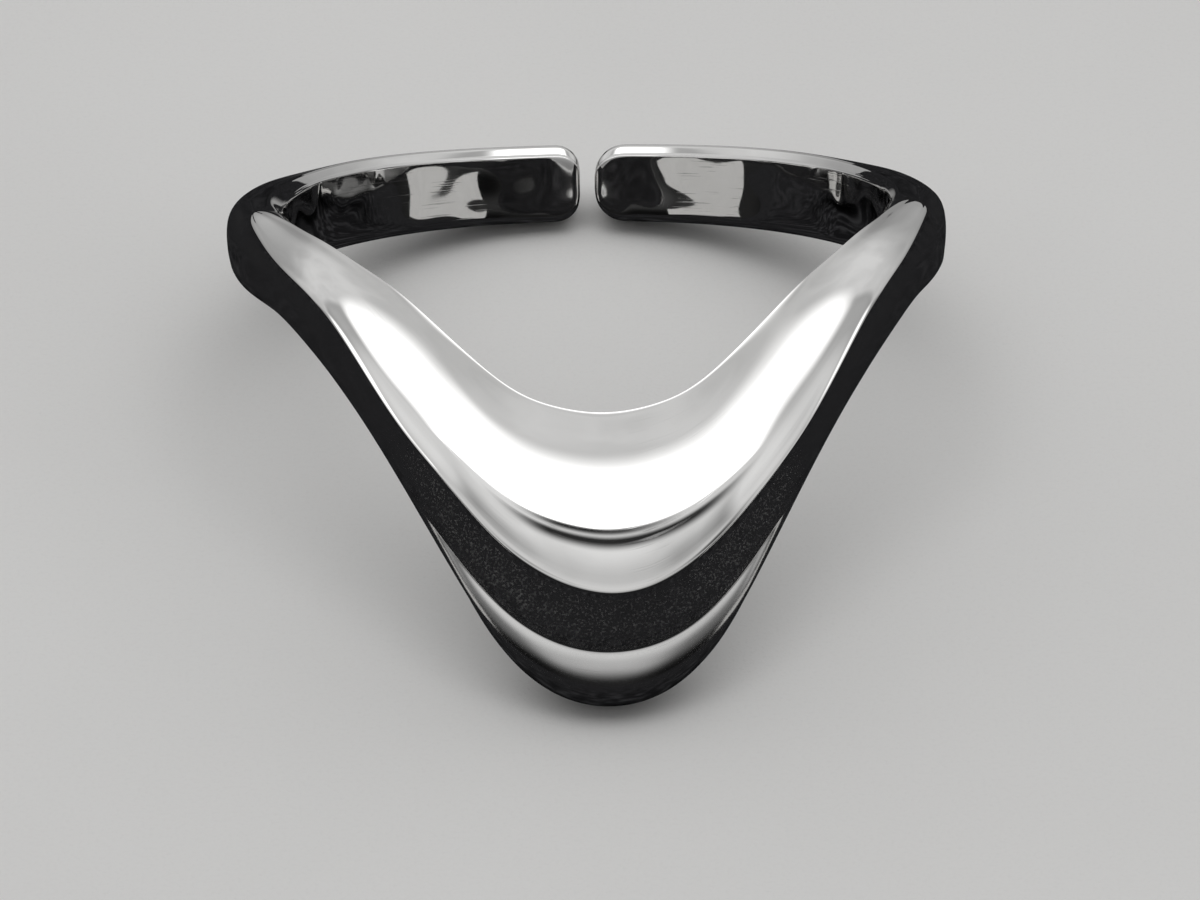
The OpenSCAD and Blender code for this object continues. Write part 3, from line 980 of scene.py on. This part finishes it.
# Heights between which the tent behind the ring brightens, places between which the front takes over
# from it, and the light of the cloth's folds
BEHIND_HEIGHT = (0.0, 0.7)
FRONT_STARTS = (0.1, -0.1)
CLOTH_LIGHT = (0.88, 1.04)

# The least that a direction's height or front counts as, where it is divided by
LEAST = 0.02

# Camera and floor
SENSOR_WIDTH = 36.0
NEAREST_SEEN = 10 * MM
FARTHEST_SEEN = 5.0
FLOOR_SIZE = 2.0


def stand_card(name, across, setup):
    """Stands a card in front of the ring, facing it, that only reflections show."""
    low, high = setup.card_upright
    start, end = across
    start_fresh()
    bpy.ops.mesh.primitive_plane_add(
        size=1.0, location=((start + end) / 2, -setup.card_distance, (low + high) / 2),
        rotation=(-pi / 2, 0, 0))
    card = bpy.context.object
    card.name = card.data.name = name
    card.scale = (end - start, high - low, 1.0)
    bpy.ops.object.transform_apply(location=True, rotation=True, scale=True)
    card.visible_camera = card.visible_diffuse = card.visible_shadow = False
    return card


def aim_camera(scene, setup):
    """Adds the camera at the angle of the photograph."""
    back = Vector((
        sin(setup.azimuth) * cos(setup.elevation),
        -cos(setup.azimuth) * cos(setup.elevation),
        sin(setup.elevation)))
    start_fresh()
    bpy.ops.object.camera_add(location=Vector(setup.aim) + back * setup.distance)
    camera = bpy.context.object
    camera.name = "camera"
    turn = back.to_track_quat("Z", "Y").to_matrix() @ Matrix.Rotation(setup.roll, 3, "Z")
    camera.rotation_euler = turn.to_euler()
    camera.data.sensor_width = SENSOR_WIDTH
    camera.data.lens = setup.focal_length
    camera.data.clip_start = NEAREST_SEEN
    camera.data.clip_end = FARTHEST_SEEN
    scene.camera = camera


def tent_panel(sums, forward, side):
    """Mask of the ceiling panel, wider to the front."""
    slanted = sums.math("SUBTRACT", side, sums.math("MULTIPLY", forward, PANEL_WIDENING))
    across = sums.step(slanted, *PANEL_SIDE, 1.0, 0.0)
    return sums.math("MULTIPLY", sums.window(forward, *PANEL_FORWARD), across)


def tent_seam(sums, forward, sideways, side):
    """Mask of the dark seam along the front edge of the panel: thin in the middle, and a wider part."""
    thin = sums.math("MULTIPLY", sums.window(forward, *THIN_SEAM_FORWARD),
                     sums.step(side, *THIN_SEAM_SIDE, 1.0, 0.0))
    wide = sums.math("MULTIPLY", sums.window(forward, *WIDE_SEAM_FORWARD),
                     sums.window(sideways, *WIDE_SEAM_SIDEWAYS))
    return sums.math("MAXIMUM", thin, wide)


def tent_front(sums, setup, forward, aside, z):
    """Light of the tent in front of the ring."""
    light = sums.step(forward, *FRONT_FORWARD, setup.front_light, setup.tent_light * FRONT_SHARE)
    light = sums.math("MULTIPLY", light, sums.step(z, *FRONT_FADE))
    corner_shade = sums.math("MULTIPLY", sums.window(aside, *CORNER_SIDE), sums.step(z, *CORNER_HEIGHT))
    return sums.math("MULTIPLY", light, sums.math("SUBTRACT", 1.0, corner_shade))


def light_tent(scene, setup):
    """A pale tent with a bright ceiling panel, a dark seam in front of it, and darker low down."""
    world = scene.world or bpy.data.worlds.new("tent")
    scene.world = world
    world.use_nodes = True
    tree = world.node_tree
    sums = NodeSums(tree)
    place = tree.nodes.new("ShaderNodeTexCoord").outputs["Generated"]
    split = tree.nodes.new("ShaderNodeSeparateXYZ")
    tree.links.new(place, split.inputs["Vector"])
    x, y, z = split.outputs
    height = sums.math("MAXIMUM", z, LEAST)
    sideways = sums.math("DIVIDE", x, height)
    side = sums.math("ABSOLUTE", sideways)
    toward = sums.math("MULTIPLY", y, -1.0)
    forward = sums.math("DIVIDE", toward, height)
    offset = sums.math("ABSOLUTE", x)
    aside = sums.math("DIVIDE", offset, sums.math("MAXIMUM", toward, LEAST))

    behind = sums.step(z, *BEHIND_HEIGHT, setup.low_light, setup.tent_light)
    in_front = sums.step(y, *FRONT_STARTS)
    light = sums.math("ADD", sums.math("MULTIPLY", tent_front(sums, setup, forward, aside, z), in_front),
                      sums.math("MULTIPLY", behind, sums.math("SUBTRACT", 1.0, in_front)))
    beside = sums.math("MULTIPLY", sums.window(toward, *BESIDE_FRONT), sums.step(offset, *BESIDE_SIDE))
    light = sums.math("MULTIPLY", light, sums.math("SUBTRACT", 1.0, beside))
    cloth = sums.patches(place, *TENT_CLOTH)
    light = sums.math("MULTIPLY", light, sums.step(cloth, 0.0, 1.0, *CLOTH_LIGHT))
    panel = sums.math("MULTIPLY", tent_panel(sums, forward, side), setup.panel_light)
    seam = sums.math("MULTIPLY", tent_seam(sums, forward, sideways, side), SEAM_DARKNESS)
    light = sums.math("MULTIPLY", sums.math("ADD", light, panel), sums.math("SUBTRACT", 1.0, seam))
    background = tree.nodes["Background"]
    background.inputs["Color"].default_value = (1.0, 1.0, 1.0, 1.0)
    tree.links.new(light, background.inputs["Strength"])


class RING_OT_build_studio(bpy.types.Operator):
    """Set up the camera, the floor, the cards and the tent"""

    bl_idname = "ring.build_studio"
    bl_label = "Build the Studio"
    bl_options = {"REGISTER", "UNDO"}

    def execute(self, context):
        scene = context.scene
        setup = scene.studio_setup
        scene.view_settings.view_transform = "Standard"
        aim_camera(scene, setup)
        start_fresh()
        bpy.ops.mesh.primitive_plane_add(size=FLOOR_SIZE, location=(0, 0, 0))
        floor_piece = context.object
        floor_piece.name = "floor"
        floor_piece.data.materials.append(pale_floor(setup))
        paper = pale_card(setup)
        for name, across in (("left_card", setup.card_left), ("right_card", setup.card_right)):
            card = stand_card(name, across, setup)
            card.data.materials.append(paper)
        light_tent(scene, setup)
        return {"FINISHED"}


class RING_PT_panel(bpy.types.Panel):
    """Lists the steps and the sizes in the sidebar"""

    bl_idname = "RING_PT_panel"
    bl_label = "Swept Silver Ring"
    bl_space_type = "VIEW_3D"
    bl_region_type = "UI"
    bl_category = "Ring"

    def draw(self, context):
        layout = self.layout
        layout.operator("ring.model_ring")
        layout.operator("ring.build_studio")
        for group in ("ring_band", "ring_front", "silver_finish", "studio_setup"):
            box = layout.box()
            settings = getattr(context.scene, group)
            for name in settings.__annotations__:
                box.prop(settings, name)


CLASSES = (
    RingBandSize,
    RingFrontSize,
    SilverFinish,
    StudioSetup,
    RING_OT_model_ring,
    RING_OT_build_studio,
    RING_PT_panel,
)


def register():
    for cls in CLASSES:
        bpy.utils.register_class(cls)
    bpy.types.Scene.ring_band = PointerProperty(type=RingBandSize)
    bpy.types.Scene.ring_front = PointerProperty(type=RingFrontSize)
    bpy.types.Scene.silver_finish = PointerProperty(type=SilverFinish)
    bpy.types.Scene.studio_setup = PointerProperty(type=StudioSetup)


def unregister():
    for name in ("ring_band", "ring_front", "silver_finish", "studio_setup"):
        delattr(bpy.types.Scene, name)
    for cls in reversed(CLASSES):
        bpy.utils.unregister_class(cls)


def main():
    register()
    bpy.ops.ring.model_ring()
    bpy.ops.ring.build_studio()


if __name__ == "__main__":
    main()
